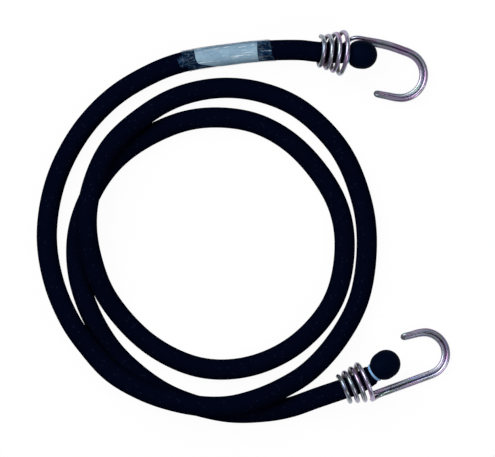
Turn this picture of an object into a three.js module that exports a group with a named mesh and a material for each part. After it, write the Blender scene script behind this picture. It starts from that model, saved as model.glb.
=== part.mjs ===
// A bungee cord lying in loops, with a hook of doubled wire and a ball cap at each end.
// Millimetres, +Z up, the floor at z = 0, the origin at the middle of the footprint.
import * as THREE from 'three';

// Cord: a woven sheath over four rubber strands.
const CORD_DIAMETER = 10;
const SHEATH_WALL = 0.8;
const STRAND_DIAMETER = 3;
const STRAND_GAP = 0.3;
const STRANDS = 4;
const REST_FLAT = CORD_DIAMETER / 10;
const LAY_GAP = 0.6;
const SEAM_GAP = 0.3;
const SEAM_UNDER_TAPE = 2;
const FREE_STRETCH_A = 20;
const FREE_STRETCH_B = 28;
const STRAIGHT_END = 12.4;
const NECK_DIAMETER = 7.8;
const NECK_TAPER = 1.5;
const SHEATH_SIDES = 12;
const STRAND_SIDES = 5;
const LOOP_STEPS = 58;
const END_STEPS = 6;
const NECK_STEPS = 2;

// Hook: one wire, wound as a cone round the cord and doubled from there to the tip.
const WIRE_DIAMETER = 2.2;
const LEG_GAP = 0.45;
const COIL_PITCH = 3.6;
const COIL_CLEARANCE = 0.4;
const TILT_PIVOT = 0.1;
const FREE_TURN = 0.35;
const SHANK_LENGTH = 31.4;
const TIP_ROLL = 50;
const WIRE_SIDES = 8;
const WIRE_STEPS = 116;

// Ball cap, clinch ring, sticker and tape.
const BALL_DIAMETER = 14;
const BALL_LENGTH = 13.4;
const BALL_BASE_DIAMETER = 9.8;
const SOCKET_DEPTH = 7;
const FIT_GAP = 0.3;
const RING_WIDTH = 1.2;
const RING_THICKNESS = 0.6;
const TAPE_WIDTH = 48;
const TAPE_THICKNESS = 0.25;
const LABEL_LENGTH = 31;
const LABEL_THICKNESS = 0.2;
const LABEL_SIDES = 8;
const LAYER_GAP = 0.1;

const cordRadius = CORD_DIAMETER / 2;
const neckRadius = NECK_DIAMETER / 2;
const neckLength = SOCKET_DEPTH + RING_WIDTH + 2 * FIT_GAP;
const wireRadius = WIRE_DIAMETER / 2;
const floorLevel = cordRadius - REST_FLAT;
const overLevel = CORD_DIAMETER + LAY_GAP;
const coilRadius = cordRadius + COIL_CLEARANCE + wireRadius;

// Each end: a point on the cord at the coil's mouth and its rise, the way the cord points there, seen
// from above and in slope, the coil's turns, hand, end and widening, its tilt, dip and sideways shift on
// the cord, how far its free end stands off, the side that the shank lies on, its drop below the axis,
// start, offset, lean towards the axis and bow, how far from that start the inner leg ends, the bend's
// radius, the tip's length and flare, and where the ball cap's base is and how it turns.
const endA = {
  mouth: [47.4, 84.9],
  rise: 7,
  heading: -4,
  slope: -3,
  turns: 3.88,
  hand: 1,
  coilEnd: 3.2,
  flare: 4.4,
  tilt: -6,
  dip: -12,
  shift: 2,
  stray: 1.3,
  side: 1,
  drop: 9,
  shankStart: 2.6,
  offset: 6.8,
  lean: 7.1,
  bow: 1.7,
  innerEnd: 8,
  bend: 11.4,
  tip: 9,
  tipFlare: -7,
  neck: [4.6, 0.2, 0],
  turn: 0,
  droop: 0,
};
const endB = {
  mouth: [59.2, -74.8],
  rise: 2.8,
  heading: 19,
  slope: -3,
  turns: 3.6,
  hand: -1,
  coilEnd: 1.4,
  flare: 3.2,
  tilt: 0,
  dip: -3,
  shift: 0,
  stray: 0.4,
  side: -1,
  drop: 6.4,
  shankStart: 1.2,
  offset: 7.9,
  lean: 1,
  bow: 0,
  innerEnd: -0.6,
  bend: 10.5,
  tip: 7.2,
  tipFlare: 5,
  neck: [7, -2.9, 0.8],
  turn: 18,
  droop: -24,
};

// The lay of the loops: x, y and the lift over the floor, where 1 lies on top of another strand.
const route = [
  [28, 86.6, 0.72], [12, 86.4, 0.48], [-8, 84.4, 0.26], [-30, 80.7, 0.22],
  [-45.3, 74.9, 0.08], [-63.6, 63.6, 0], [-79.6, 46.2, 0], [-91.3, 23, 0],
  [-95.7, -3, 0], [-92.5, -25.5, 0.02], [-84.3, -45, 0.55], [-76, -57, 0.66],
  [-64.2, -70, 0.72], [-50.2, -78.4, 0.95], [-36.5, -83.5, 1.03], [-21, -86.6, 1.04],
  [-7, -86.6, 1.01], [5, -83.8, 0.93], [18, -78.6, 0.5], [32, -70, 0.05],
  [46, -54.6, 0], [56.6, -34.5, 0], [60.4, -8, 0], [57.8, 13.5, 0],
  [47.5, 38, 0], [28, 57.8, 0], [8.5, 66.3, 0], [-11.2, 68.3, 0],
  [-31, 64.3, 0.08], [-47.4, 55.3, 0.55], [-64.3, 39.8, 0.95], [-73.2, 21, 1.04],
  [-76, 3, 1.02], [-73.4, -15.7, 0.78], [-65.5, -35, 0.16], [-45.5, -56.6, 0],
  [-21, -68, 0], [3, -67.5, 0], [26.3, -56.5, 0], [44.1, -35.3, 0],
  [49.6, -8, 0], [45, 14, 0], [27.5, 38, 0], [8.5, 50.2, 0],
  [-11.2, 53.9, 0], [-31, 51.4, 0], [-55.5, 39, 0], [-69.5, 24.5, 0],
  [-79.5, 3, 0], [-81.2, -16, 0], [-77, -35.3, 0], [-66.2, -56, 0],
  [-53.5, -69.6, 0], [-35, -82, 0], [-9, -89.6, 0], [10.5, -89.6, 0],
  [23, -87.4, 0.06], [36, -82.8, 0.34],
];

const materials = {
  sheath: { color: 0x0b0b1c, roughness: 0.8, metalness: 0 },
  rubber: { color: 0xb99a6b, roughness: 0.7, metalness: 0 },
  wire: { color: 0xc9c6cc, roughness: 0.25, metalness: 1 },
  cap: { color: 0x101014, roughness: 0.75, metalness: 0 },
  ring: { color: 0xbfd0da, roughness: 0.4, metalness: 0 },
  label: { color: 0xc3ccd8, roughness: 0.5, metalness: 0 },
  tape: { color: 0x8fa3ad, roughness: 0.12, metalness: 0 },
};

const part = new THREE.Group();
part.name = 'bungee_cord';

function addPart(name, geometry, materialName) {
  const mesh = new THREE.Mesh(geometry, new THREE.MeshStandardMaterial(materials[materialName]));
  mesh.name = name;
  part.add(mesh);
  return mesh;
}

// An end's own axes: along the pull, across towards the shank, and up.
function endFrame(end) {
  const heading = THREE.MathUtils.degToRad(end.heading);
  const slope = THREE.MathUtils.degToRad(end.slope);
  const along = new THREE.Vector3(Math.cos(heading), Math.sin(heading), 0)
    .multiplyScalar(Math.cos(slope)).add(new THREE.Vector3(0, 0, Math.sin(slope)));
  const across = new THREE.Vector3(-Math.sin(heading), Math.cos(heading), 0).multiplyScalar(end.side);
  const up = new THREE.Vector3().crossVectors(along, across).multiplyScalar(end.side);
  const mouth = new THREE.Vector3(...end.mouth, coilRadius + wireRadius + end.rise);
  const at = (u, w, n) => mouth.clone()
    .addScaledVector(along, u).addScaledVector(across, w).addScaledVector(up, n);
  return { along, across, up, mouth, at };
}

// A cap's place: the middle of the neck at its base, and the way that it points.
function capFrame(end) {
  const frame = endFrame(end);
  const turn = THREE.MathUtils.degToRad(end.turn);
  const droop = THREE.MathUtils.degToRad(end.droop);
  const axis = frame.along.clone().multiplyScalar(Math.cos(turn) * Math.cos(droop))
    .addScaledVector(frame.across, -Math.sin(turn) * Math.cos(droop))
    .addScaledVector(frame.up, -Math.sin(droop)).normalize();
  return { base: frame.at(...end.neck), axis };
}

// The whole cord's middle line, from the end in one cap to the end in the other.
function endPoints(end) {
  const frame = endFrame(end);
  const cap = capFrame(end);
  const inCap = [SOCKET_DEPTH, SOCKET_DEPTH / 2, 0, SOCKET_DEPTH - neckLength - NECK_TAPER]
    .map((depth) => cap.base.clone().addScaledVector(cap.axis, depth));
  return [...inCap, frame.at(-STRAIGHT_END * 0.35, 0, 0), frame.at(-STRAIGHT_END, 0, 0)];
}

const laid = route.map(([x, y, lift]) => new THREE.Vector3(x, y, floorLevel + lift * overLevel));
const cordCurve = new THREE.CatmullRomCurve3(
  [...endPoints(endA), ...laid, ...endPoints(endB).reverse()], false, 'centripetal');
cordCurve.arcLengthDivisions = 2400;
const cordLength = cordCurve.getLength();

function distanceAlong(point) {
  let best = 0;
  let nearest = Infinity;
  for (let i = 0; i <= 2400; i += 1) {
    const gap = cordCurve.getPointAt(i / 2400).distanceTo(point);
    if (gap < nearest) {
      nearest = gap;
      best = (i / 2400) * cordLength;
    }
  }
  return best;
}

const straightA = distanceAlong(endFrame(endA).at(-STRAIGHT_END, 0, 0));
const straightB = distanceAlong(endFrame(endB).at(-STRAIGHT_END, 0, 0));
const tapeStart = straightA + FREE_STRETCH_A;
const seamA = tapeStart + SEAM_UNDER_TAPE;
const seamB = straightB - FREE_STRETCH_B;

// How thick the cord is, as a share of its full thickness: the ring draws it in beside each cap.
function girthAt(distance) {
  const past = Math.min(distance, cordLength - distance) - neckLength;
  return THREE.MathUtils.lerp(neckRadius / cordRadius, 1, THREE.MathUtils.smoothstep(past, 0, NECK_TAPER));
}

// A level ring frame on the cord: across stays flat, so a section's foot stays down.
function stationAt(distance) {
  const t = THREE.MathUtils.clamp(distance / cordLength, 0, 1);
  const centre = cordCurve.getPointAt(t);
  centre.z = Math.max(centre.z, floorLevel);
  const along = cordCurve.getTangentAt(t);
  const across = new THREE.Vector3(-along.y, along.x, 0).normalize();
  const up = new THREE.Vector3().crossVectors(along, across);
  return { centre, along, across, up, girth: girthAt(distance) };
}

const polygon = (radius, sides, offset = [0, 0]) => Array.from({ length: sides }, (_, i) => {
  const angle = (i / sides) * 2 * Math.PI - Math.PI / 2;
  return [offset[0] + radius * Math.cos(angle), offset[1] + radius * Math.sin(angle)];
});

// A stretch of the cord is built in straight steps, and what is wrapped round it follows the same steps.
function makeStretch(distances) {
  const stations = distances.map(stationAt);
  const steps = stations.length - 1;
  const [from, to] = [distances[0], distances[steps]];
  const onStation = (i, a, b) => stations[i].centre.clone()
    .addScaledVector(stations[i].across, a * stations[i].girth)
    .addScaledVector(stations[i].up, b * stations[i].girth);
  const pointAt = (place, a, b) => {
    const i = THREE.MathUtils.clamp(Math.floor(place), 0, steps - 1);
    return onStation(i, a, b).lerp(onStation(i + 1, a, b), place - i);
  };
  const placeOf = (distance) => ((distance - from) / (to - from)) * steps;
  return { pointAt, placeOf, whole: stations.map((_, i) => i) };
}

// Sweep a section, with or without a bore, over places on a stretch. Points below a foot level are set
// on it, which cuts the cord flat where it rests on the floor.
function sweepCord(stretch, places, section, bore = null, foot = -Infinity, boreFoot = -Infinity) {
  const positions = [];
  const index = [];
  const steps = places.length - 1;
  const ring = (points, lowest) => {
    for (const place of places) {
      for (const [a, b] of points) {
        const p = stretch.pointAt(place, a, b);
        positions.push(p.x, p.y, Math.max(p.z, lowest));
      }
    }
  };
  const wall = (start, count, inward) => {
    for (let i = 0; i < steps; i += 1) {
      for (let j = 0; j < count; j += 1) {
        const k = (j + 1) % count;
        const [a, b, c, d] = [[i, j], [i, k], [i + 1, k], [i + 1, j]]
          .map(([row, column]) => start + row * count + column);
        index.push(...(inward ? [a, c, b, a, d, c] : [a, b, c, a, c, d]));
      }
    }
  };
  const count = section.length;
  ring(section, foot);
  wall(0, count, false);
  const last = steps * count;
  if (bore) {
    const inner = (steps + 1) * count;
    ring(bore, boreFoot);
    wall(inner, count, true);
    for (let j = 0; j < count; j += 1) {
      const k = (j + 1) % count;
      index.push(j, inner + k, k, j, inner + j, inner + k);
      index.push(last + j, last + k, inner + last + k, last + j, inner + last + k, inner + last + j);
    }
  } else {
    const caps = THREE.ShapeUtils.triangulateShape(section.map(([x, y]) => new THREE.Vector2(x, y)), []);
    for (const [a, b, c] of caps) {
      index.push(a, c, b, last + a, last + b, last + c);
    }
  }
  const geometry = new THREE.BufferGeometry();
  geometry.setAttribute('position', new THREE.Float32BufferAttribute(positions, 3));
  geometry.setIndex(index);
  geometry.computeVertexNormals();
  return geometry;
}

const sheathSection = polygon(cordRadius, SHEATH_SIDES);
const boreSection = polygon(cordRadius - SHEATH_WALL, SHEATH_SIDES);
const strandRing = (STRAND_DIAMETER + STRAND_GAP) / (2 * Math.sin(Math.PI / STRANDS));
const strandSections = [];
for (let i = 0; i < STRANDS; i += 1) {
  const angle = ((i + 0.5) / STRANDS) * 2 * Math.PI;
  const offset = [strandRing * Math.cos(angle), strandRing * Math.sin(angle)];
  strandSections.push(polygon(STRAND_DIAMETER / 2, STRAND_SIDES, offset));
}

// Where an end's steps lie, counted from the cord's end: in the cap and ring, over the taper, and the rest.
const evenly = (from, to, steps) => Array.from(
  { length: steps + 1 }, (_, i) => from + ((to - from) * i) / steps);
const endStops = (length) => [
  ...evenly(0, neckLength, NECK_STEPS).slice(0, -1),
  ...evenly(neckLength, neckLength + NECK_TAPER, NECK_STEPS).slice(0, -1),
  ...evenly(neckLength + NECK_TAPER, length, END_STEPS),
];
const stretches = {
  loops: makeStretch(evenly(seamA + SEAM_GAP, seamB - SEAM_GAP, LOOP_STEPS)),
  end_a: makeStretch(endStops(seamA)),
  end_b: makeStretch(endStops(cordLength - seamB).map((stop) => cordLength - stop).reverse()),
};
for (const [name, stretch] of Object.entries(stretches)) {
  addPart(`sheath_${name}`,
    sweepCord(stretch, stretch.whole, sheathSection, boreSection, 0, SHEATH_WALL / 2), 'sheath');
  strandSections.forEach((section, i) => {
    addPart(`rubber_strand_${i + 1}_${name}`, sweepCord(stretch, stretch.whole, section), 'rubber');
  });
}

// Sticker and clear tape, wrapped round the cord beside hook A.
const labelRadius = cordRadius + LAYER_GAP;
const tapeRadius = labelRadius + LABEL_THICKNESS + LAYER_GAP;
const labelStart = tapeStart + TAPE_WIDTH * 0.18;
const labelTurn = (i, radius) => {
  const angle = ((i + (SHEATH_SIDES - LABEL_SIDES) / 2) / SHEATH_SIDES) * 2 * Math.PI - Math.PI / 2;
  return [radius * Math.cos(angle), radius * Math.sin(angle)];
};
const labelSection = [];
for (let i = 0; i <= LABEL_SIDES; i += 1) labelSection.push(labelTurn(i, labelRadius + LABEL_THICKNESS));
for (let i = LABEL_SIDES; i >= 0; i -= 1) labelSection.push(labelTurn(i, labelRadius));
function wrapPlaces(start, length) {
  const [first, last] = [start, start + length].map(stretches.loops.placeOf);
  return [first, ...stretches.loops.whole.filter((i) => i > first && i > 0 && i < last), last];
}
addPart('label_sticker',
  sweepCord(stretches.loops, wrapPlaces(labelStart, LABEL_LENGTH), labelSection), 'label');
addPart('clear_tape', sweepCord(stretches.loops, wrapPlaces(tapeStart, TAPE_WIDTH),
  polygon(tapeRadius + TAPE_THICKNESS, SHEATH_SIDES), polygon(tapeRadius, SHEATH_SIDES)), 'tape');

// One hook's wire: the cone's turns, then the outer leg to the folded tip and the inner leg back.
function hookWire(end) {
  const frame = endFrame(end);
  const rad = THREE.MathUtils.degToRad;
  const exitAngle = Math.atan2(-end.drop, end.offset);
  const points = [];
  const turnPoints = 12;
  const coilSteps = Math.round(end.turns * turnPoints);
  const coilLength = end.turns * COIL_PITCH;
  const [tilt, dip] = [rad(end.tilt), rad(end.dip)];
  const pivot = end.coilEnd - (1 - TILT_PIVOT) * coilLength;
  for (let i = 0; i <= coilSteps - 1; i += 1) {
    const share = i / coilSteps;
    const angle = exitAngle - end.hand * (1 - share) * end.turns * 2 * Math.PI;
    const freeTurn = Math.max(0, 1 - (share * end.turns) / FREE_TURN);
    const radius = coilRadius + end.flare * share + end.stray * freeTurn ** 2;
    const turned = new THREE.Vector3(
      (share - TILT_PIVOT) * coilLength, radius * Math.cos(angle), radius * Math.sin(angle))
      .applyEuler(new THREE.Euler(0, -dip, tilt));
    points.push([pivot + turned.x, turned.y + end.shift * share ** 0.7, turned.z]);
  }
  // The hook's middle line between its two legs, in its own plane: shank, bend and tip.
  const middle = [];
  const lean = rad(end.lean);
  const shankAt = (d) => [end.shankStart + d * Math.cos(lean),
    end.offset - d * Math.sin(lean) + end.bow * Math.sin((Math.PI * d) / SHANK_LENGTH)];
  const shankHeading = (d) => Math.atan2(
    shankAt(d + 0.1)[1] - shankAt(d - 0.1)[1], shankAt(d + 0.1)[0] - shankAt(d - 0.1)[0]);
  const shankPlace = (d) => [shankAt(d), shankHeading(d), 0];
  const shankReaches = [0.12, 0.35, 0.65, 0.92].map((share) => SHANK_LENGTH * share);
  const innerReaches = shankReaches.filter((d) => d > end.innerEnd + WIRE_DIAMETER);
  const bendStart = shankAt(SHANK_LENGTH);
  const bendHeading = shankHeading(SHANK_LENGTH);
  const bendCentre = [bendStart[0] + end.bend * Math.sin(bendHeading),
    bendStart[1] - end.bend * Math.cos(bendHeading)];
  const sweep = Math.PI + bendHeading - rad(end.tipFlare);
  const bendSteps = 9;
  for (let i = 0; i <= bendSteps; i += 1) {
    const heading = bendHeading - (sweep * i) / bendSteps;
    const share = Math.max(0, i / bendSteps - 0.5) * 2;
    middle.push([[bendCentre[0] - end.bend * Math.sin(heading),
      bendCentre[1] + end.bend * Math.cos(heading)], heading, rad(TIP_ROLL) * share * 0.7]);
  }
  const [tipStart, tipHeading] = middle[middle.length - 1];
  for (const share of [0.5, 1]) {
    const d = end.tip * share;
    middle.push([[tipStart[0] + d * Math.cos(tipHeading), tipStart[1] + d * Math.sin(tipHeading)],
      tipHeading, rad(TIP_ROLL) * (0.7 + 0.3 * share)]);
  }
  const halfPair = (WIRE_DIAMETER + LEG_GAP) / 2;
  const leg = ([[u, w], heading, roll], reach) => {
    const inPlane = reach * Math.cos(roll);
    return [u - inPlane * Math.sin(heading), w + inPlane * Math.cos(heading),
      -end.drop + reach * Math.sin(roll)];
  };
  const outerLeg = [...shankReaches.map(shankPlace), ...middle];
  for (const place of outerLeg) points.push(leg(place, halfPair));
  const [[tipU, tipW], foldHeading, foldRoll] = middle[middle.length - 1];
  for (const angle of [45, 90, 135]) {
    const out = halfPair * Math.sin(rad(angle));
    const spot = [tipU + out * Math.cos(foldHeading), tipW + out * Math.sin(foldHeading)];
    points.push(leg([spot, foldHeading, foldRoll], halfPair * Math.cos(rad(angle))));
  }
  const innerLeg = [...[end.innerEnd, ...innerReaches].map(shankPlace), ...middle];
  for (const place of innerLeg.reverse()) points.push(leg(place, -halfPair));
  return new THREE.CatmullRomCurve3(points.map((p) => frame.at(...p)), false, 'centripetal');
}

// The least gap between a tube and itself, measured on points that lie further apart along it than reach.
function leastGap(curve, diameter, reach) {
  curve.arcLengthDivisions = 2400;
  const length = curve.getLength();
  const count = Math.ceil(length / (diameter / 3));
  const points = curve.getSpacedPoints(count);
  const skip = Math.ceil((reach / length) * count);
  let least = Infinity;
  for (let i = 0; i <= count; i += 1) {
    for (let j = i + skip; j <= count; j += 1) least = Math.min(least, points[i].distanceTo(points[j]));
  }
  return least - diameter;
}

const wireSection = new THREE.Shape().absarc(0, 0, wireRadius, 0, 2 * Math.PI);
function addHook(name, end) {
  const curve = hookWire(end);
  addPart(name, new THREE.ExtrudeGeometry(wireSection,
    { steps: WIRE_STEPS, extrudePath: curve, curveSegments: WIRE_SIDES / 2, bevelEnabled: false }), 'wire');
  const gap = leastGap(curve, WIRE_DIAMETER, 3 * WIRE_DIAMETER);
  console.log(`${name} wire: least gap to itself ${gap.toFixed(2)} mm`);
}
addHook('hook_a', endA);
addHook('hook_b', endB);
console.log(`cord: length ${cordLength.toFixed(0)} mm, least gap to itself `
  + `${leastGap(cordCurve, CORD_DIAMETER, 6 * CORD_DIAMETER).toFixed(2)} mm`);

// Ball cap with its socket, and the clinch ring at its base, turned about the cord's end.
function placeOnEnd(geometry, end) {
  const cap = capFrame(end);
  const turn = new THREE.Quaternion().setFromUnitVectors(new THREE.Vector3(0, 1, 0), cap.axis);
  return geometry.applyQuaternion(turn).translate(cap.base.x, cap.base.y, cap.base.z);
}

function ballCap() {
  const radius = BALL_DIAMETER / 2;
  const baseRadius = BALL_BASE_DIAMETER / 2;
  const waist = Math.sqrt(radius ** 2 - baseRadius ** 2);
  const dome = BALL_LENGTH - radius;
  const socket = neckRadius + FIT_GAP;
  const outline = new THREE.Path();
  outline.moveTo(0, SOCKET_DEPTH + FIT_GAP);
  outline.lineTo(socket, SOCKET_DEPTH + FIT_GAP);
  outline.lineTo(socket, 0);
  outline.lineTo(baseRadius, 0);
  outline.absarc(0, waist, radius, -Math.acos(baseRadius / radius), 0);
  outline.lineTo(radius, dome);
  outline.absarc(0, dome, radius, 0, Math.PI / 2);
  const points = outline.getPoints(4);
  points[points.length - 1].x = 0;
  return new THREE.LatheGeometry(points, 20);
}

function clinchRing() {
  const inner = neckRadius + FIT_GAP;
  const outer = inner + RING_THICKNESS;
  const back = -FIT_GAP - RING_WIDTH;
  const outline = [[inner, back], [outer, back], [outer, -FIT_GAP], [inner, -FIT_GAP], [inner, back]];
  return new THREE.LatheGeometry(outline.map(([x, y]) => new THREE.Vector2(x, y)), 24);
}

for (const [letter, end] of [['a', endA], ['b', endB]]) {
  addPart(`ball_cap_${letter}`, placeOnEnd(ballCap(), end), 'cap');
  addPart(`clinch_ring_${letter}`, placeOnEnd(clinchRing(), end), 'ring');
}

export default part;
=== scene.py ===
"""A bungee cord lying in loops: woven sheath, hooks of doubled wire, ball caps, clinch rings, a paper
sticker and clear tape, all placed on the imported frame. Metres, +Z up, the floor at z = 0."""
import bisect
import math

import bmesh
import bpy
from mathutils import Matrix, Vector, noise


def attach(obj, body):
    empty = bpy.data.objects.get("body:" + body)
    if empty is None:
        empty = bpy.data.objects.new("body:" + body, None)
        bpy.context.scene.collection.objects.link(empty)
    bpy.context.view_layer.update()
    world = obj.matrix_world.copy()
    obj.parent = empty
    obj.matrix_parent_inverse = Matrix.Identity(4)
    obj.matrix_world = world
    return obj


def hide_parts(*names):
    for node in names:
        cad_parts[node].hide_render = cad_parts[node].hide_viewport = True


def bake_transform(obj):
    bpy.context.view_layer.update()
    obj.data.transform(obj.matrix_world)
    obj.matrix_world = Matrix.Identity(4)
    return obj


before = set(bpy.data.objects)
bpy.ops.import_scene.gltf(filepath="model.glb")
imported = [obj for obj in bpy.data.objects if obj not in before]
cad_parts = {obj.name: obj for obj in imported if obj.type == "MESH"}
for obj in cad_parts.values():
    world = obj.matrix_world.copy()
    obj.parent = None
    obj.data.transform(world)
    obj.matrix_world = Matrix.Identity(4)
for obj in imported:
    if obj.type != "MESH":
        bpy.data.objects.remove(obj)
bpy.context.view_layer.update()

MM = 0.001

# Cord
CORD_RADIUS = 5.0 * MM
SHEATH_WALL = 0.8 * MM
FLOOR_LEVEL = CORD_RADIUS - 1.0 * MM
OVER_LEVEL = 2 * CORD_RADIUS + 0.6 * MM
SHEATH_SIDES = 24
SHEATH_STEP = 1.3 * MM
YARNS = 20
YARN_PITCH = 2.2 * MM
YARN_RELIEF = 0.30 * MM
CORD_SPAN_STEPS = 36

# Hooks: the coil tilts about a place near its free end, which strays from the cord over part of a turn,
# and the two legs of the shank are pressed together.
WIRE_RADIUS = 1.1 * MM
LEG_PRESS = 0.04 * MM
COIL_PITCH = 3.6 * MM
COIL_RADIUS = CORD_RADIUS + 0.4 * MM + WIRE_RADIUS
TILT_PIVOT = 0.1
FREE_TURN = 0.35
SHIFT_EASE = 0.7
COIL_KNOTS = 12
SHANK_LENGTH = 31.4 * MM
SHANK_KNOTS = (0.12, 0.35, 0.65, 0.92)
BEND_KNOTS = 9
TIP_ROLL = math.radians(50)
ROLL_IN_BEND = 0.7
FOLD_SHADE = 2.2 * MM
WIRE_SIDES = 18
WIRE_STEP = 0.6 * MM
WIRE_SPAN_STEPS = 14

# Ball caps, clinch rings, sticker and tape
SOFT_EDGE = 0.25 * MM
BALL_RADIUS = 7.0 * MM
BALL_LENGTH = 13.4 * MM
BALL_BASE_RADIUS = 4.9 * MM
BALL_BASE_EASE_DEG = 3
CAP_SIDES = 56
SOCKET_DEPTH = 7.0 * MM
FIT_GAP = 0.3 * MM
RING_WIDTH = 1.2 * MM
RING_THICKNESS = 0.6 * MM
RING_SIDES = 64
NECK_RADIUS = 3.9 * MM
NECK_LENGTH = SOCKET_DEPTH + RING_WIDTH + 2 * FIT_GAP
NECK_TAPER = 1.5 * MM
STRAIGHT_END = 12.4 * MM
STRAIGHT_KNOT = 0.35 * STRAIGHT_END
SEAM_UNDER_TAPE = 2.0 * MM
FREE_STRETCH_A = 20.0 * MM
FREE_STRETCH_B = 28.0 * MM
TAPE_WIDTH = 48.0 * MM
TAPE_RADIUS = CORD_RADIUS + 0.42 * MM
TAPE_FILM = 0.09 * MM
TAPE_GRID = (96, 96)
LABEL_OFFSET = 0.18 * TAPE_WIDTH
LABEL_LENGTH = 31.0 * MM
LABEL_RADIUS = CORD_RADIUS + 0.14 * MM
LABEL_PAPER = 0.12 * MM
LABEL_EDGE = 2.0 * MM
LABEL_GRID = (44, 60)

# Each end: its coil's mouth, the way the cord points there, the coil's turns, hand, end, widening, tilt,
# dip and sideways shift, how far its free end stands off, the shank's side, drop, start, offset, lean and
# bow, where the inner leg ends, the bend's radius, the tip's length and flare, and the ball cap's neck,
# turn and droop.
END_A = {
    "mouth": (0.0474, 0.0849, COIL_RADIUS + WIRE_RADIUS + 7.0 * MM),
    "heading": math.radians(-4),
    "slope": math.radians(-3),
    "turns": 3.88,
    "hand": 1,
    "coil_end": 3.2 * MM,
    "flare": 4.4 * MM,
    "tilt": math.radians(-6),
    "dip": math.radians(-12),
    "shift": 2.0 * MM,
    "stray": 1.3 * MM,
    "side": 1,
    "drop": 9.0 * MM,
    "shank_start": 2.6 * MM,
    "offset": 6.8 * MM,
    "lean": math.radians(7.1),
    "bow": 1.7 * MM,
    "inner_end": 8.0 * MM,
    "bend": 11.4 * MM,
    "tip": 9.0 * MM,
    "tip_flare": math.radians(-7),
    "neck": (4.6 * MM, 0.2 * MM, 0.0),
    "turn": 0.0,
    "droop": 0.0,
}
END_B = {
    "mouth": (0.0592, -0.0748, COIL_RADIUS + WIRE_RADIUS + 2.8 * MM),
    "heading": math.radians(19),
    "slope": math.radians(-3),
    "turns": 3.6,
    "hand": -1,
    "coil_end": 1.4 * MM,
    "flare": 3.2 * MM,
    "tilt": 0.0,
    "dip": math.radians(-3),
    "shift": 0.0,
    "stray": 0.4 * MM,
    "side": -1,
    "drop": 6.4 * MM,
    "shank_start": 1.2 * MM,
    "offset": 7.9 * MM,
    "lean": math.radians(1),
    "bow": 0.0,
    "inner_end": -0.6 * MM,
    "bend": 10.5 * MM,
    "tip": 7.2 * MM,
    "tip_flare": math.radians(5),
    "neck": (7.0 * MM, -2.9 * MM, 0.8 * MM),
    "turn": math.radians(18),
    "droop": math.radians(-24),
}

# The lay of the loops: x, y and the lift over the floor, where 1 lies on top of another strand.
ROUTE = [
    (0.0280, 0.0866, 0.72), (0.0120, 0.0864, 0.48), (-0.0080, 0.0844, 0.26), (-0.0300, 0.0807, 0.22),
    (-0.0453, 0.0749, 0.08), (-0.0636, 0.0636, 0), (-0.0796, 0.0462, 0), (-0.0913, 0.0230, 0),
    (-0.0957, -0.0030, 0), (-0.0925, -0.0255, 0.02), (-0.0843, -0.0450, 0.55), (-0.0760, -0.0570, 0.66),
    (-0.0642, -0.0700, 0.72), (-0.0502, -0.0784, 0.95), (-0.0365, -0.0835, 1.03), (-0.0210, -0.0866, 1.04),
    (-0.0070, -0.0866, 1.01), (0.0050, -0.0838, 0.93), (0.0180, -0.0786, 0.5), (0.0320, -0.0700, 0.05),
    (0.0460, -0.0546, 0), (0.0566, -0.0345, 0), (0.0604, -0.0080, 0), (0.0578, 0.0135, 0),
    (0.0475, 0.0380, 0), (0.0280, 0.0578, 0), (0.0085, 0.0663, 0), (-0.0112, 0.0683, 0),
    (-0.0310, 0.0643, 0.08), (-0.0474, 0.0553, 0.55), (-0.0643, 0.0398, 0.95), (-0.0732, 0.0210, 1.04),
    (-0.0760, 0.0030, 1.02), (-0.0734, -0.0157, 0.78), (-0.0655, -0.0350, 0.16), (-0.0455, -0.0566, 0),
    (-0.0210, -0.0680, 0), (0.0030, -0.0675, 0), (0.0263, -0.0565, 0), (0.0441, -0.0353, 0),
    (0.0496, -0.0080, 0), (0.0450, 0.0140, 0), (0.0275, 0.0380, 0), (0.0085, 0.0502, 0),
    (-0.0112, 0.0539, 0), (-0.0310, 0.0514, 0), (-0.0555, 0.0390, 0), (-0.0695, 0.0245, 0),
    (-0.0795, 0.0030, 0), (-0.0812, -0.0160, 0), (-0.0770, -0.0353, 0), (-0.0662, -0.0560, 0),
    (-0.0535, -0.0696, 0), (-0.0350, -0.0820, 0), (-0.0090, -0.0896, 0), (0.0105, -0.0896, 0),
    (0.0230, -0.0874, 0.06), (0.0360, -0.0828, 0.34),
]


# Lines and places
class Line:
    """A smooth line through chosen points, measured along its length."""

    def __init__(self, knots, per_span):
        self.points = [knots[0]]
        padded = [2 * knots[0] - knots[1], *knots, 2 * knots[-1] - knots[-2]]
        for before, start, end, after in zip(padded, padded[1:], padded[2:], padded[3:]):
            gap_in = (start - before).length ** 0.5
            gap = (end - start).length ** 0.5
            gap_out = (after - end).length ** 0.5
            leave = (start - before) / gap_in - (end - before) / (gap_in + gap) + (end - start) / gap
            arrive = (end - start) / gap - (after - start) / (gap + gap_out) + (after - end) / gap_out
            leave = leave * gap
            arrive = arrive * gap
            for step in range(1, per_span + 1):
                t = step / per_span
                cubic = 2 * start - 2 * end + leave + arrive
                square = 3 * end - 3 * start - 2 * leave - arrive
                self.points.append(start + leave * t + square * t ** 2 + cubic * t ** 3)
        self.runs = [0.0]
        for a, b in zip(self.points, self.points[1:]):
            self.runs.append(self.runs[-1] + (b - a).length)
        self.length = self.runs[-1]

    def at(self, run):
        run = min(max(run, 0.0), self.length)
        i = min(max(bisect.bisect_right(self.runs, run) - 1, 0), len(self.points) - 2)
        share = (run - self.runs[i]) / (self.runs[i + 1] - self.runs[i])
        return self.points[i].lerp(self.points[i + 1], share)

    def along(self, run):
        reach = 0.3 * MM
        return (self.at(run + reach) - self.at(run - reach)).normalized()

    def nearest(self, place):
        return min(zip(self.points, self.runs), key=lambda pair: (pair[0] - place).length)[1]


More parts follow.
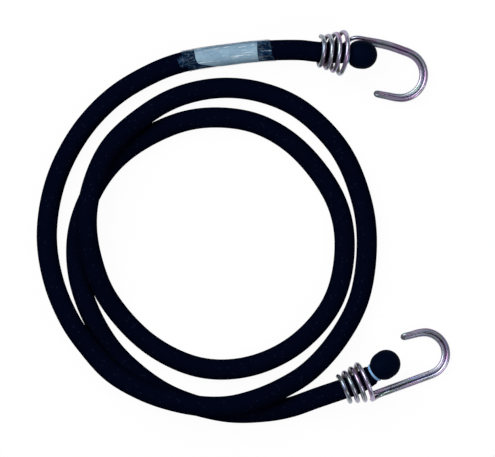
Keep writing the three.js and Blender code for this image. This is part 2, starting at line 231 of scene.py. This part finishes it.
class EndFrame:
    """An end's own axes: along the pull, across towards the shank, and up."""

    def __init__(self, end):
        flat = math.cos(end["slope"])
        self.along = Vector((
            math.cos(end["heading"]) * flat,
            math.sin(end["heading"]) * flat,
            math.sin(end["slope"]),
        ))
        self.across = end["side"] * Vector((-math.sin(end["heading"]), math.cos(end["heading"]), 0))
        self.up = end["side"] * self.along.cross(self.across)
        self.mouth = Vector(end["mouth"])
        turn = math.cos(end["droop"])
        self.cap_axis = (
            self.along * math.cos(end["turn"]) * turn
            - self.across * math.sin(end["turn"]) * turn
            - self.up * math.sin(end["droop"])
        ).normalized()
        self.cap_base = self.at(*end["neck"])

    def at(self, u, w, n):
        return self.mouth + self.along * u + self.across * w + self.up * n


def end_knots(place):
    depths = (SOCKET_DEPTH, SOCKET_DEPTH / 2, 0, SOCKET_DEPTH - NECK_LENGTH - NECK_TAPER)
    in_cap = [place.cap_base + place.cap_axis * depth for depth in depths]
    return [*in_cap, place.at(-STRAIGHT_KNOT, 0, 0), place.at(-STRAIGHT_END, 0, 0)]


place_a = EndFrame(END_A)
place_b = EndFrame(END_B)
laid = [Vector((x, y, FLOOR_LEVEL + lift * OVER_LEVEL)) for x, y, lift in ROUTE]
cord_line = Line([*end_knots(place_a), *laid, *reversed(end_knots(place_b))], CORD_SPAN_STEPS)
straight_a = cord_line.nearest(place_a.at(-STRAIGHT_END, 0, 0))
straight_b = cord_line.nearest(place_b.at(-STRAIGHT_END, 0, 0))
tape_start = straight_a + FREE_STRETCH_A
seam_a = tape_start + SEAM_UNDER_TAPE
seam_b = straight_b - FREE_STRETCH_B


def cord_middle(run):
    middle = cord_line.at(run)
    middle.z = max(middle.z, FLOOR_LEVEL)
    return middle


def girth(run):
    """The cord's share of its full thickness: the ring draws it in beside each cap."""
    past = min(run, cord_line.length - run) - NECK_LENGTH
    share = min(max(past / NECK_TAPER, 0.0), 1.0)
    least = NECK_RADIUS / CORD_RADIUS
    return least + (1 - least) * share * share * (3 - 2 * share)


def on_cord(run, turn, radius):
    """A place round the cord: turn 0 is underneath and a quarter is on the line's right."""
    radius = radius * girth(run)
    along = cord_line.along(run)
    across = Vector((-along.y, along.x, 0)).normalized()
    up = along.cross(across)
    angle = turn * 2 * math.pi - math.pi / 2
    spot = cord_middle(run) + radius * (across * math.cos(angle) + up * math.sin(angle))
    spot.z = max(spot.z, 0.0)
    return spot


def spaced(first, last, step):
    count = max(2, round(abs(last - first) / step))
    return [first + (last - first) * i / count for i in range(count + 1)]


# Finishes
class Field:
    """A shader socket that takes part in plain arithmetic."""

    def __init__(self, work, socket):
        self.work = work
        self.socket = socket

    def math(self, operation, *others):
        return self.work.node("Math", {"operation": operation}, [self, *others])["Value"]

    def __add__(self, other):
        return self.math("ADD", other)

    def __sub__(self, other):
        return self.math("SUBTRACT", other)

    def __mul__(self, other):
        return self.math("MULTIPLY", other)

    def __truediv__(self, other):
        return self.math("DIVIDE", other)

    def __pow__(self, other):
        return self.math("POWER", other)

    def __rsub__(self, other):
        return self.work.node("Math", {"operation": "SUBTRACT"}, [other, self])["Value"]

    __radd__ = __add__
    __rmul__ = __mul__


class Nodes:
    """A node tree that is written as expressions."""

    def __init__(self, tree):
        self.tree = tree
        tree.nodes.clear()

    def node(self, kind, settings, inputs):
        made = self.tree.nodes.new("ShaderNode" + kind)
        for key, value in settings.items():
            if key == "stops":
                ramp = made.color_ramp.elements
                while len(ramp) < len(value):
                    ramp.new(0.5)
                for element, (position, colour) in zip(ramp, value):
                    element.position = position
                    element.color = (*colour, 1)
            else:
                setattr(made, key, value)
        live = [socket for socket in made.inputs if socket.enabled]
        named = {socket.name: socket for socket in reversed(live)}
        for key, value in inputs.items() if isinstance(inputs, dict) else enumerate(inputs):
            socket = live[key] if isinstance(key, int) else named[key]
            if isinstance(value, Field):
                self.tree.links.new(value.socket, socket)
            else:
                socket.default_value = value
        return {socket.name: Field(self, socket) for socket in made.outputs if socket.enabled}

    def mix(self, share, first, second):
        colours = {"Factor": share, "A": first, "B": second}
        return self.node("Mix", {"data_type": "RGBA"}, colours)["Result"]

    def grain(self, place, scale, detail=2.0, roughness=0.5):
        settings = {"Vector": place, "Scale": scale, "Detail": detail, "Roughness": roughness}
        return self.node("TexNoise", {}, settings)["Fac"]

    def rise(self, value, low, high):
        settings = {"Value": value, "From Min": low, "From Max": high}
        return self.node("MapRange", {"interpolation_type": "SMOOTHSTEP"}, settings)["Result"]


def tint(red, green, blue):
    return (red, green, blue, 1.0)


class Finish(Nodes):
    """A material of one principled shader."""

    def __init__(self, name):
        self.material = bpy.data.materials.new(name)
        self.material.use_nodes = True
        super().__init__(self.material.node_tree)

    def lay(self):
        """The two ways on a swept piece: turns round it, and metres along it."""
        uv = self.node("UVMap", {"uv_map": "lay"}, {})["UV"]
        ways = self.node("SeparateXYZ", {}, [uv])
        return ways["X"], ways["Y"]

    def point(self, x, y, z):
        return self.node("CombineXYZ", {}, [x, y, z])["Vector"]

    def place(self):
        return self.node("TexCoord", {}, {})["Object"]

    def bump(self, height, distance, strength):
        settings = {"Height": height, "Distance": distance, "Strength": strength}
        return self.node("Bump", {}, settings)["Normal"]

    def done(self, sockets):
        shader = self.node("BsdfPrincipled", {}, sockets)["BSDF"]
        self.node("OutputMaterial", {}, {"Surface": shader})
        return self.material


def woven_sheath():
    """Two families of yarn that cross over and under each other round the cord."""
    finish = Finish("woven_sheath")
    turns, run = finish.lay()
    left = turns * YARNS + run / YARN_PITCH
    right = turns * YARNS - run / YARN_PITCH
    left_row = left.math("FLOOR")
    right_row = right.math("FLOOR")
    over = (left_row + right_row).math("FLOORED_MODULO", 2.0)
    left_way = left.math("FRACT")
    right_way = right.math("FRACT")
    left_crown = 1 - (left_way * 2 - 1) ** 2
    right_crown = 1 - (right_way * 2 - 1) ** 2
    left_twist = ((left_way * 3 + right_way * 0.7) * 2 * math.pi).math("SINE")
    right_twist = ((right_way * 3 - left_way * 0.7) * 2 * math.pi).math("SINE")
    own = 0.62
    crossed = 0.3
    twisted = 0.05
    left_yarn = left_crown * own + right_crown * crossed + left_twist * twisted
    right_yarn = right_crown * own + left_crown * crossed + right_twist * twisted
    height = over * left_yarn + (1 - over) * right_yarn
    cell = finish.point(left_row, right_row, 0.0)
    chance = finish.node("TexWhiteNoise", {"noise_dimensions": "2D"}, {"Vector": cell})["Value"]
    fleck = finish.rise(chance, 0.90, 0.98) * finish.rise(height, 0.55, 0.9)
    wear = finish.grain(finish.place(), 55.0, 3.0)
    # The grooves between yarns are painted darker than the crowns: painted shade in the recesses.
    groove_shade = tint(0.0001, 0.0003, 0.0012)
    crown = tint(0.0008, 0.0017, 0.0082)
    yarn = finish.mix(finish.rise(height, 0.1, 0.85), groove_shade, crown)
    faded = finish.mix(wear * 0.5, yarn, tint(0.0012, 0.0028, 0.0116))
    colour = finish.mix(fleck * 0.25, faded, tint(0.014, 0.022, 0.050))
    return finish.done({
        "Base Color": colour,
        "Roughness": 0.70 + wear * 0.25,
        "Specular IOR Level": 0.0,
        "Normal": finish.bump(height, YARN_RELIEF, 0.7),
    })


def plated_wire():
    """Drawn steel wire under bright plating that turns violet and green in streaks along it."""
    finish = Finish("plated_wire")
    turns, run = finish.lay()
    angle = turns * 2 * math.pi
    streak_place = finish.point(angle.math("COSINE") * 0.9, angle.math("SINE") * 0.9, run * 38.0)
    streak = finish.grain(streak_place, 1.6, 2.0)
    draw_place = finish.point(angle.math("COSINE") * 9.0, angle.math("SINE") * 9.0, run * 90.0)
    draw = finish.grain(draw_place, 2.0, 3.0)
    film = finish.node("ValToRGB", {"stops": [
        (0.30, (0.11, 0.07, 0.12)),
        (0.42, (0.40, 0.25, 0.42)),
        (0.51, (0.41, 0.43, 0.58)),
        (0.59, (0.22, 0.29, 0.20)),
        (0.70, (0.20, 0.23, 0.50)),
    ]}, [streak])["Color"]
    soil = finish.rise(finish.grain(finish.place(), 260.0, 4.0), 0.56, 0.74)
    soiled = finish.mix(soil * 0.5, film, tint(0.12, 0.09, 0.08))
    # Where the coil's wire faces the cord it is painted dark brown: painted shade.
    inside = finish.node("Attribute", {"attribute_name": "inside"}, {})["Fac"]
    painted_cord_shade = finish.mix(finish.rise(inside, 0.35, 0.75) * 0.9, soiled, tint(0.035, 0.022, 0.020))
    # Round the fold at the tip the wire is painted near-black and less metallic: painted shade.
    fold = finish.node("Attribute", {"attribute_name": "fold"}, {})["Fac"]
    return finish.done({
        "Base Color": finish.mix(fold * 0.92, painted_cord_shade, tint(0.010, 0.010, 0.012)),
        "Metallic": 1.0 - fold * 0.6,
        "Roughness": 0.19 + draw * 0.17 + fold * 0.3 + inside * 0.2,
        "Normal": finish.bump(draw, 0.05 * MM, 0.10),
    })


def moulded_rubber():
    finish = Finish("moulded_rubber")
    place = finish.place()
    pebble = finish.grain(place, 1500.0, 2.0)
    cloud = finish.grain(place, 130.0, 3.0)
    scuff = finish.rise(finish.grain(place, 420.0, 5.0, 0.7), 0.60, 0.76)
    dark = finish.mix(cloud, tint(0.0003, 0.0013, 0.0058), tint(0.0012, 0.0034, 0.0130))
    return finish.done({
        "Base Color": finish.mix(scuff * 0.22, dark, tint(0.004, 0.006, 0.020)),
        "Roughness": 0.50 + cloud * 0.2,
        "IOR": 1.06,
        "Specular Tint": tint(0.20, 0.45, 1.0),
        "Normal": finish.bump(pebble + scuff * 0.6, 0.06 * MM, 0.5),
    })


def pale_band():
    finish = Finish("pale_band")
    place = finish.place()
    cloud = finish.grain(place, 300.0, 3.0)
    return finish.done({
        "Base Color": finish.mix(cloud, tint(0.10, 0.30, 0.62), tint(0.30, 0.52, 0.76)),
        "Roughness": 0.3 + cloud * 0.15,
        "Normal": finish.bump(finish.grain(place, 1800.0), 0.03 * MM, 0.3),
    })


def sticker_paper():
    finish = Finish("sticker_paper")
    place = finish.place()
    cloud = finish.grain(place, 110.0, 3.0)
    fibre = finish.grain(place, 2600.0, 4.0, 0.65)
    # Thin crease lines are painted darker as well as bumped in: painted shade.
    crease = finish.rise((finish.grain(place, 190.0, 2.0) - 0.5).math("ABSOLUTE"), 0.035, 0.0)
    paper = finish.mix(cloud, tint(0.22, 0.39, 0.51), tint(0.29, 0.45, 0.55))
    soft = finish.mix(fibre * 0.3, paper, tint(0.42, 0.54, 0.60))
    return finish.done({
        "Base Color": finish.mix(crease * 0.35, soft, tint(0.22, 0.34, 0.40)),
        "Roughness": 0.5 + fibre * 0.2,
        "Normal": finish.bump(fibre * 0.3 - crease * 0.7, 0.10 * MM, 0.5),
    })


def clear_film():
    """Crinkled clear tape: nearly unseen where it lies flat, milky where it creases or lifts."""
    finish = Finish("clear_film")
    turns, run = finish.lay()
    angle = turns * 2 * math.pi
    wrap = finish.point(angle.math("COSINE") * 5.0, angle.math("SINE") * 5.0, run * 420.0)
    fold = (finish.grain(wrap, 0.62, 2.0) - 0.5).math("ABSOLUTE")
    crease = finish.rise(fold, 0.028, 0.004)
    label_start = tape_start + LABEL_OFFSET
    label_end = label_start + LABEL_LENGTH
    round_way = turns.math("FRACT")
    on_label = finish.rise(run, label_start, label_start + LABEL_EDGE)
    on_label = on_label * finish.rise(run, label_end, label_end - LABEL_EDGE)
    on_label = on_label * finish.rise(round_way, 0.36, 0.44) * finish.rise(round_way, LABEL_HIGH_EDGE, 0.80)
    streak_place = finish.point(angle.math("COSINE") * 15.0, angle.math("SINE") * 15.0, run * 120.0)
    streak = finish.rise(finish.grain(streak_place, 0.85, 2.0), 0.61, 0.67)
    glint = streak * (0.35 + on_label * 0.65)
    lifted = finish.rise(finish.grain(wrap, 0.24, 1.0), 0.42, 0.66)
    teal = finish.mix(lifted, tint(0.010, 0.058, 0.16), tint(0.018, 0.100, 0.28))
    pale = finish.mix(crease, teal, tint(0.22, 0.38, 0.52))
    colour = finish.mix(glint, pale, tint(0.80, 0.92, 0.97))
    return finish.done({
        "Base Color": colour,
        "Roughness": 0.10 + crease * 0.15,
        "Alpha": 0.07 + lifted * 0.05 + crease * 0.07 + glint * 0.75,
        "IOR": 1.18,
        "Normal": finish.bump(fold * 3.0 + lifted, 0.20 * MM, 0.6),
    })


def strand_rubber():
    finish = Finish("strand_rubber")
    place = finish.place()
    cloud = finish.grain(place, 240.0, 3.0)
    return finish.done({
        "Base Color": finish.mix(cloud, tint(0.40, 0.28, 0.15), tint(0.56, 0.42, 0.25)),
        "Roughness": 0.55 + cloud * 0.2,
        "Normal": finish.bump(finish.grain(place, 1600.0), 0.04 * MM, 0.3),
    })


# Making pieces
def piece(name, shape, finish):
    mesh = bpy.data.meshes.new(name)
    shape.to_mesh(mesh)
    shape.free()
    mesh.polygons.foreach_set("use_smooth", [True] * len(mesh.polygons))
    mesh.materials.append(finish)
    made = bpy.data.objects.new(name, mesh)
    bpy.context.scene.collection.objects.link(made)
    return made


def swept(rings, runs):
    """Extrude a circle from ring to ring, and lay turns and metres on it."""
    shape = bmesh.new()
    side = shape.verts.layers.int.new("side")
    step = shape.verts.layers.int.new("step")
    count = len(rings[0])
    front = bmesh.ops.create_circle(shape, segments=count, radius=1)["verts"]
    for i, vert in enumerate(front):
        vert[side] = i
        vert.co = rings[0][i]
    rim = list(shape.edges)
    for i, ring in enumerate(rings[1:], 1):
        grown = bmesh.ops.extrude_edge_only(shape, edges=rim)["geom"]
        rim = [part for part in grown if isinstance(part, bmesh.types.BMEdge) and part.is_boundary]
        for vert in grown:
            if isinstance(vert, bmesh.types.BMVert):
                vert.co = ring[vert[side]]
                vert[step] = i
    lay = shape.loops.layers.uv.new("lay")
    for face in shape.faces:
        crosses = {vert[side] for vert in face.verts} >= {0, count - 1}
        for loop in face.loops:
            place = loop.vert[side]
            loop[lay].uv = ((count if crosses and place == 0 else place) / count, runs[loop.vert[step]])
    bmesh.ops.recalc_face_normals(shape, faces=shape.faces)
    return shape


def close_ends(shape):
    bmesh.ops.holes_fill(shape, edges=[edge for edge in shape.edges if edge.is_boundary], sides=0)
    bmesh.ops.recalc_face_normals(shape, faces=shape.faces)


def wall(made, thickness):
    shell = made.modifiers.new("wall", "SOLIDIFY")
    shell.thickness = thickness
    shell.offset = -1
    shell.use_even_offset = True


def sheath(name, first, last):
    runs = spaced(first, last, SHEATH_STEP)
    turns = [i / SHEATH_SIDES for i in range(SHEATH_SIDES)]
    rings = [[on_cord(run, turn, CORD_RADIUS) for turn in turns] for run in runs]
    made = piece(name, swept(rings, runs), sheath_finish)
    wall(made, SHEATH_WALL)
    return made, runs


def wire_knots(end, place):
    """The cone's turns, the outer leg to the folded tip and the inner leg back, and the fold's middle."""
    exit_angle = math.atan2(-end["drop"], end["offset"])
    coil_steps = round(end["turns"] * COIL_KNOTS)
    coil_length = end["turns"] * COIL_PITCH
    lie = Matrix.Rotation(-end["dip"], 3, "Y") @ Matrix.Rotation(end["tilt"], 3, "Z")
    pivot = Vector((end["coil_end"] - (1 - TILT_PIVOT) * coil_length, 0, 0))
    knots = []
    for i in range(coil_steps):
        share = i / coil_steps
        angle = exit_angle - end["hand"] * (1 - share) * end["turns"] * 2 * math.pi
        free = max(0, 1 - share * end["turns"] / FREE_TURN)
        radius = COIL_RADIUS + end["flare"] * share + end["stray"] * free ** 2
        along = (share - TILT_PIVOT) * coil_length
        spot = Vector((along, radius * math.cos(angle), radius * math.sin(angle)))
        shifted = Vector((0, end["shift"] * share ** SHIFT_EASE, 0))
        knots.append(pivot + lie @ spot + shifted)

    def shank_at(run):
        bowed = end["bow"] * math.sin(math.pi * run / SHANK_LENGTH)
        along = run * math.cos(end["lean"])
        return Vector((end["shank_start"] + along, end["offset"] - run * math.sin(end["lean"]) + bowed))

    def shank_spot(run):
        reach = 0.1 * MM
        way = shank_at(run + reach) - shank_at(run - reach)
        return shank_at(run), math.atan2(way.y, way.x), 0.0

    reaches = [SHANK_LENGTH * share for share in SHANK_KNOTS]
    start, first, _ = shank_spot(SHANK_LENGTH)
    centre = start + end["bend"] * Vector((math.sin(first), -math.cos(first)))
    sweep = math.pi + first - end["tip_flare"]
    curl = []
    for i in range(BEND_KNOTS + 1):
        heading = first - sweep * i / BEND_KNOTS
        out = end["bend"] * Vector((-math.sin(heading), math.cos(heading)))
        rolled = ROLL_IN_BEND * max(0, 2 * i / BEND_KNOTS - 1)
        curl.append((centre + out, heading, TIP_ROLL * rolled))
    tip, heading, _ = curl[-1]
    way = Vector((math.cos(heading), math.sin(heading)))
    for share in (0.5, 1):
        rolled = ROLL_IN_BEND + (1 - ROLL_IN_BEND) * share
        curl.append((tip + way * end["tip"] * share, heading, TIP_ROLL * rolled))
    half_pair = WIRE_RADIUS - LEG_PRESS / 2

    def leg(spot, reach):
        (u, w), facing, roll = spot
        flat = reach * math.cos(roll)
        raised = reach * math.sin(roll) - end["drop"]
        return (u - flat * math.sin(facing), w + flat * math.cos(facing), raised)

    knots += [leg(spot, half_pair) for spot in [*map(shank_spot, reaches), *curl]]
    last, facing, roll = curl[-1]
    for angle in (math.pi / 4, math.pi / 2, 3 * math.pi / 4):
        spot = (last + way * half_pair * math.sin(angle), facing, roll)
        knots.append(leg(spot, half_pair * math.cos(angle)))
    inner = [end["inner_end"], *(run for run in reaches if run > end["inner_end"] + 2 * WIRE_RADIUS)]
    knots += [leg(spot, -half_pair) for spot in reversed([*map(shank_spot, inner), *curl])]
    fold = last + way * half_pair
    return [place.at(*knot) for knot in knots], place.at(fold.x, fold.y, -end["drop"])


def inward(spot, centre, place):
    """How far a place on the coil's wire faces the cord, from 0 to 1."""
    to_axis = place.mouth + place.along * (centre - place.mouth).dot(place.along) - centre
    return 0.5 + 0.5 * (spot - centre).normalized().dot(to_axis.normalized())


def hook(name, end, place, body):
    knots, tip = wire_knots(end, place)
    line = Line(knots, WIRE_SPAN_STEPS)
    runs = spaced(0.0, line.length, WIRE_STEP)
    along = line.along(runs[0])
    across = along.orthogonal().normalized()
    rings = []
    for i, run in enumerate(runs):
        ahead = line.along(run)
        across = (along.rotation_difference(ahead) @ across).normalized()
        along = ahead
        up = along.cross(across)
        radius = WIRE_RADIUS - (SOFT_EDGE if i in (0, len(runs) - 1) else 0)
        angles = [2 * math.pi * j / WIRE_SIDES for j in range(WIRE_SIDES)]
        rings.append([line.at(run) + radius * (across * math.cos(a) + up * math.sin(a)) for a in angles])
    shape = swept(rings, runs)
    close_ends(shape)
    made = piece(name, shape, wire_finish)
    verts = [vert.co.copy() for vert in made.data.vertices]
    # fold: nearness to the tip's fold, where the wire finish paints shade.
    fold = made.data.attributes.new("fold", "FLOAT", "POINT")
    near = [1 - (spot - tip).length / FOLD_SHADE for spot in verts]
    fold.data.foreach_set("value", [max(0.0, share) ** 0.5 for share in near])
    # inside: how far the coil's wire faces the cord, which the wire finish turns into painted shade.
    inside = made.data.attributes.new("inside", "FLOAT", "POINT")
    steps = [entry.value for entry in made.data.attributes["step"].data]
    coil_run = end["turns"] * 2 * math.pi * (COIL_RADIUS + end["flare"] / 2)
    for entry, spot, step in zip(inside.data, verts, steps):
        if runs[step] < coil_run:
            entry.value = inward(spot, line.at(runs[step]), place)
    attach(made, body)
    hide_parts(body)


def turned(profile, place, steps):
    """Spin a profile of (radius, height) about the cap's axis."""
    shape = bmesh.new()
    verts = [shape.verts.new((radius, 0, height)) for radius, height in profile]
    for a, b in zip(verts, verts[1:]):
        shape.edges.new((a, b))
    bmesh.ops.spin(shape, geom=shape.verts[:] + shape.edges[:], axis=(0, 0, 1), cent=(0, 0, 0),
                   angle=2 * math.pi, steps=steps, use_merge=True, use_duplicate=False)
    bmesh.ops.remove_doubles(shape, verts=shape.verts, dist=0.001 * MM)
    bmesh.ops.recalc_face_normals(shape, faces=shape.faces)
    turn = Vector((0, 0, 1)).rotation_difference(place.cap_axis).to_matrix().to_4x4()
    bmesh.ops.transform(shape, matrix=Matrix.Translation(place.cap_base) @ turn, verts=shape.verts)
    return shape


def arc(centre, radius, first, last, steps):
    angles = [math.radians(first + (last - first) * i / steps) for i in range(steps + 1)]
    return [(centre[0] + radius * math.cos(a), centre[1] + radius * math.sin(a)) for a in angles]


def ball_cap(name, place, body, node):
    waist = math.sqrt(BALL_RADIUS ** 2 - BALL_BASE_RADIUS ** 2)
    dome = BALL_LENGTH - BALL_RADIUS
    bore = NECK_RADIUS + FIT_GAP
    lower = -math.degrees(math.acos(BALL_BASE_RADIUS / BALL_RADIUS))
    profile = [(0, SOCKET_DEPTH + FIT_GAP), (bore, SOCKET_DEPTH + FIT_GAP)]
    profile += arc((bore + SOFT_EDGE, SOFT_EDGE), SOFT_EDGE, 180, 270, 4)
    profile += arc((0, waist), BALL_RADIUS, lower + BALL_BASE_EASE_DEG, 0, 10)
    profile += arc((0, dome), BALL_RADIUS, 0, 90, 18)
    profile[-1] = (0, BALL_LENGTH)
    made = piece(name, turned(profile, place, CAP_SIDES), cap_finish)
    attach(made, body)
    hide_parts(node)


def clinch_ring(name, place, body, node):
    inner = NECK_RADIUS + FIT_GAP
    back = -FIT_GAP - RING_WIDTH
    outer = inner + RING_THICKNESS - SOFT_EDGE
    profile = [(inner, back)]
    profile += arc((outer, back + SOFT_EDGE), SOFT_EDGE, -90, 0, 5)
    profile += arc((outer, -FIT_GAP - SOFT_EDGE), SOFT_EDGE, 0, 90, 5)
    profile += [(inner, -FIT_GAP), (inner, back)]
    made = piece(name, turned(profile, place, RING_SIDES), ring_finish)
    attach(made, body)
    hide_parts(node)


def wrapped(columns, rows, spot):
    """Bend a flat grid round the cord: spot gives the turn, run and radius of each place on it."""
    shape = bmesh.new()
    bmesh.ops.create_grid(shape, x_segments=columns, y_segments=rows, size=1)
    laid_at = {}
    for vert in shape.verts:
        turn, run, radius = spot((vert.co.x + 1) / 2, (vert.co.y + 1) / 2)
        laid_at[vert.index] = (turn, run)
        vert.co = on_cord(run, turn, radius)
    lay = shape.loops.layers.uv.new("lay")
    for face in shape.faces:
        for loop in face.loops:
            loop[lay].uv = laid_at[loop.vert.index]
    return shape


def eased(points, x):
    """A value between listed points, eased from one to the next."""
    for (x0, y0), (x1, y1) in zip(points, points[1:]):
        if x <= x1:
            share = min(max((x - x0) / (x1 - x0), 0), 1)
            return y0 + (y1 - y0) * share * share * (3 - 2 * share)
    return points[-1][1]


# The sticker's lower edge climbs the cord towards its far end, and its corners are rounded.
LABEL_LOW_EDGE = [(0.0, 0.10), (0.45, 0.22), (1.0, 0.405)]
LABEL_HIGH_EDGE = 0.86
LABEL_CORNER = 3.0 * MM
LABEL_CRINKLE = 0.03 * MM


def label_spot(u, v):
    run = tape_start + LABEL_OFFSET + LABEL_LENGTH * v
    low = eased(LABEL_LOW_EDGE, v)
    from_end = min(v, 1 - v) * LABEL_LENGTH
    inset = 0.0
    if from_end < LABEL_CORNER:
        inset = LABEL_CORNER - math.sqrt(LABEL_CORNER ** 2 - (LABEL_CORNER - from_end) ** 2)
    inset = inset / (2 * math.pi * LABEL_RADIUS)
    turn = low + inset + (LABEL_HIGH_EDGE - low - 2 * inset) * u
    crinkle = noise.noise(Vector((turn * 9, run * 160, 3.1)))
    return turn, run, LABEL_RADIUS + LABEL_CRINKLE * crinkle


# How far the film's two torn edges stop short of its full width, by the turn round the cord.
TAPE_NEAR_EDGE = [(0.0, 1.2), (0.25, 0.2), (0.5, 1.6), (0.75, 3.2), (0.9, 2.2), (1.0, 1.2)]
TAPE_FAR_EDGE = [(0.0, 3.4), (0.27, 4.2), (0.40, 3.6), (0.44, 0.2), (0.56, 0.0), (0.60, 2.4), (0.72, 2.8),
                 (0.86, 1.6), (1.0, 3.4)]
TAPE_TURNS = 1.18
TAPE_FIRST_TURN = 0.64
TAPE_RAGGED = 0.35 * MM
TAPE_LOOSE_SHARE = 0.16
TAPE_LOOSE_LIFT = 0.20 * MM
TAPE_CRINKLE = 0.06 * MM
TAPE_OVERLAP_LIFT = 0.12 * MM


def tape_spot(u, v):
    wound = TAPE_TURNS * u
    turn = TAPE_FIRST_TURN + wound
    share = turn % 1.0
    near = eased(TAPE_NEAR_EDGE, share) * MM
    far = eased(TAPE_FAR_EDGE, share) * MM
    ragged = TAPE_RAGGED * noise.noise(Vector((turn * 14, v, 8.2)))
    run = tape_start + near + ragged * (1 - v) + (TAPE_WIDTH - near - far - ragged) * v
    ends = max(0.0, 1 - min(v, 1 - v) / TAPE_LOOSE_SHARE)
    fold = noise.noise(Vector((turn * 7, run * 230, 5.7)))
    lift = TAPE_CRINKLE * (fold + 0.6) + TAPE_LOOSE_LIFT * ends * max(0.0, fold)
    overlap = TAPE_OVERLAP_LIFT * max(0.0, wound - 1) / (TAPE_TURNS - 1)
    return turn, run, TAPE_RADIUS + overlap + lift


# Camera
PHOTO_WIDTH = 495
PHOTO_SCALE = 0.4878 * MM
CAMERA_HEIGHT = 4.0
CAMERA_MIDDLE = (2.195 * MM, -0.244 * MM)
SENSOR_WIDTH = 36
camera = bpy.data.objects.new("camera", bpy.data.cameras.new("camera"))
bpy.context.scene.collection.objects.link(camera)
bpy.context.scene.camera = camera
camera.location = (*CAMERA_MIDDLE, CAMERA_HEIGHT)
camera.data.sensor_width = SENSOR_WIDTH
camera.data.lens = SENSOR_WIDTH * (CAMERA_HEIGHT - FLOOR_LEVEL) / (PHOTO_WIDTH * PHOTO_SCALE)

# Cord
sheath_finish = woven_sheath()
loops, loop_runs = sheath("cord_loops", seam_a, seam_b)
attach(loops, "cord")
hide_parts("sheath_loops")
cord_end_a, _ = sheath("cord_end_a", 0.0, seam_a)
cord_line.at(tape_start)
cord_line.at(straight_a)
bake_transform(cord_end_a)
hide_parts("sheath_end_a")
cord_end_b, _ = sheath("cord_end_b", seam_b, cord_line.length)
cord_line.at(seam_b)
cord_line.at(straight_b)
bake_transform(cord_end_b)
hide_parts("sheath_end_b")

rubber_finish = strand_rubber()
for name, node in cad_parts.items():
    if name.startswith("rubber_strand"):
        node.data.materials.clear()
        node.data.materials.append(rubber_finish)

# Ends
wire_finish = plated_wire()
cap_finish = moulded_rubber()
ring_finish = pale_band()
hook("wire_hook_a", END_A, place_a, "hook_a")
hook("wire_hook_b", END_B, place_b, "hook_b")
ball_cap("end_ball_a", place_a, "end_a", "ball_cap_a")
ball_cap("end_ball_b", place_b, "end_b", "ball_cap_b")
clinch_ring("end_band_a", place_a, "end_a", "clinch_ring_a")
clinch_ring("end_band_b", place_b, "end_b", "clinch_ring_b")

# Sticker and tape
label = piece("paper_sticker", wrapped(*LABEL_GRID, label_spot), sticker_paper())
wall(label, LABEL_PAPER)
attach(label, "cord")
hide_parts("label_sticker")
tape = piece("crinkled_tape", wrapped(*TAPE_GRID, tape_spot), clear_film())
wall(tape, TAPE_FILM)
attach(tape, "cord")
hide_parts("clear_tape")

cord_middle(seam_a)
[cord_middle(run) for run in loop_runs]

# Stage
FLOOR_HALF = 6
FLOOR_GAP = 0.2 * MM
FLOOR_GLOW = 0.955
pale = Finish("pale_floor")
paths = pale.node("LightPath", {}, {})
seen = (paths["Is Camera Ray"] + paths["Is Glossy Ray"] + paths["Is Transmission Ray"]).math("MINIMUM", 1.0)
matt = pale.node("BsdfDiffuse", {}, {"Color": tint(0.90, 0.90, 0.90)})["BSDF"]
dim = pale.node("BsdfDiffuse", {}, {"Color": tint(0.12, 0.12, 0.13)})["BSDF"]
glow = pale.node("Emission", {}, {"Color": tint(1, 1, 1), "Strength": 1.0})["Emission"]
lit = pale.node("MixShader", {}, [seen, dim, matt])["Shader"]
surface = pale.node("MixShader", {}, [seen * FLOOR_GLOW, lit, glow])["Shader"]
pale.node("OutputMaterial", {}, {"Surface": surface})
ground = bmesh.new()
bmesh.ops.create_grid(ground, x_segments=1, y_segments=1, size=FLOOR_HALF)
bmesh.ops.translate(ground, verts=ground.verts, vec=(0, 0, -FLOOR_GAP))
piece("floor", ground, pale.material)


def lamp(name, place, size, power):
    light = bpy.data.lights.new(name, "AREA")
    light.shape = "DISK"
    light.size = size
    light.energy = power
    made = bpy.data.objects.new(name, light)
    made.location = place
    made.rotation_euler = (-Vector(place)).to_track_quat("-Z", "Y").to_euler()
    bpy.context.scene.collection.objects.link(made)


lamp("key", (-0.9, 0.8, 1.5), size=1.8, power=36)
lamp("fill", (1.1, -0.7, 1.3), size=0.8, power=8)

world = bpy.data.worlds.new("room")
bpy.context.scene.world = world
world.use_nodes = True
room = Nodes(world.node_tree)
height = room.node("SeparateXYZ", {}, [room.node("TexCoord", {}, {})["Generated"]])["Z"]
sky = room.mix(room.rise(height, 0.0, 0.8), tint(0.12, 0.11, 0.12), tint(0.40, 0.40, 0.42))
air = room.node("Background", {}, {"Color": sky, "Strength": 1.0})["Background"]
room.node("OutputWorld", {}, {"Surface": air})

bpy.context.scene.view_settings.view_transform = "Standard"
